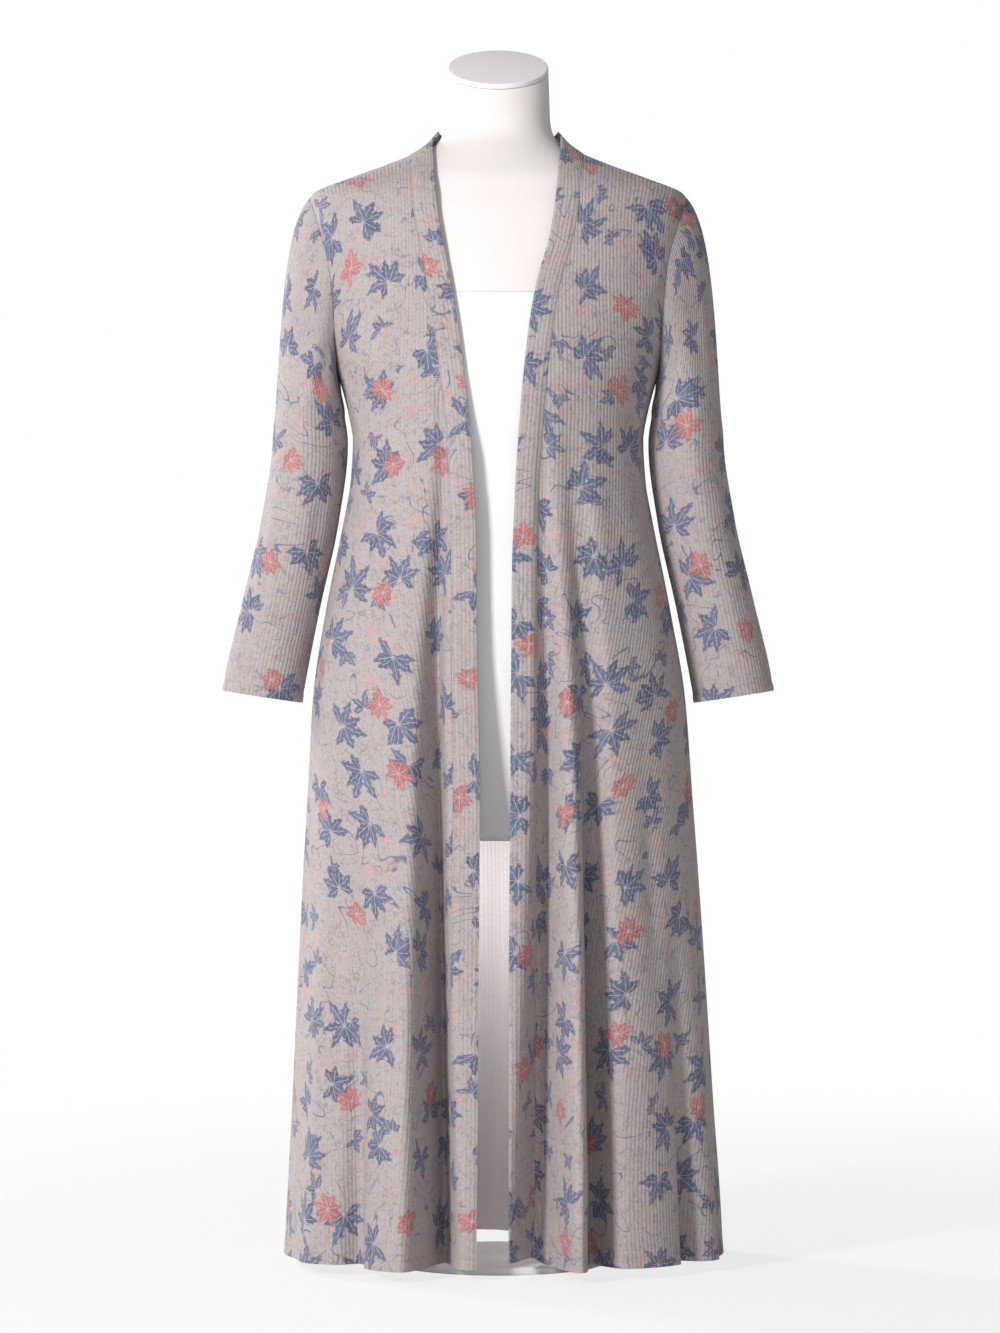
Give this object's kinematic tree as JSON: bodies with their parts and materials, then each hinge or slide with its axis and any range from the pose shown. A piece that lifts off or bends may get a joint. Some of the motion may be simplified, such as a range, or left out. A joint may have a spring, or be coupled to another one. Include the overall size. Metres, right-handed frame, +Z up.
{
  "type": "duster cardigan on a dress form",
  "caption": "Long open-front duster cardigan in printed ribbed knit, hanging from a limbless white dress form on a pole and a round base.",
  "frame": {"origin": "centre of the base's underside, on the floor", "axes": "+Z up, the front faces -Y, the wearer's left is +X"},
  "size_m": [0.5866, 0.3756, 1.2957],
  "materials": {
    "knit": "soft broken-rib jersey with a leaf and flower print",
    "form": "smooth matt white",
    "cap": "smooth pale grey-pink",
    "stand": "satin white paint"
  },
  "bodies": {
    "root": {"back": "knit", "front_left": "knit", "front_right": "knit", "sleeve_left": "knit", "sleeve_right": "knit", "band_left": "knit", "band_right": "knit", "band_neck": "knit", "form_body": "form", "form_neck": "form", "neck_cap": "cap", "pole": "stand", "base": "stand"}
  },
  "joints": []
}
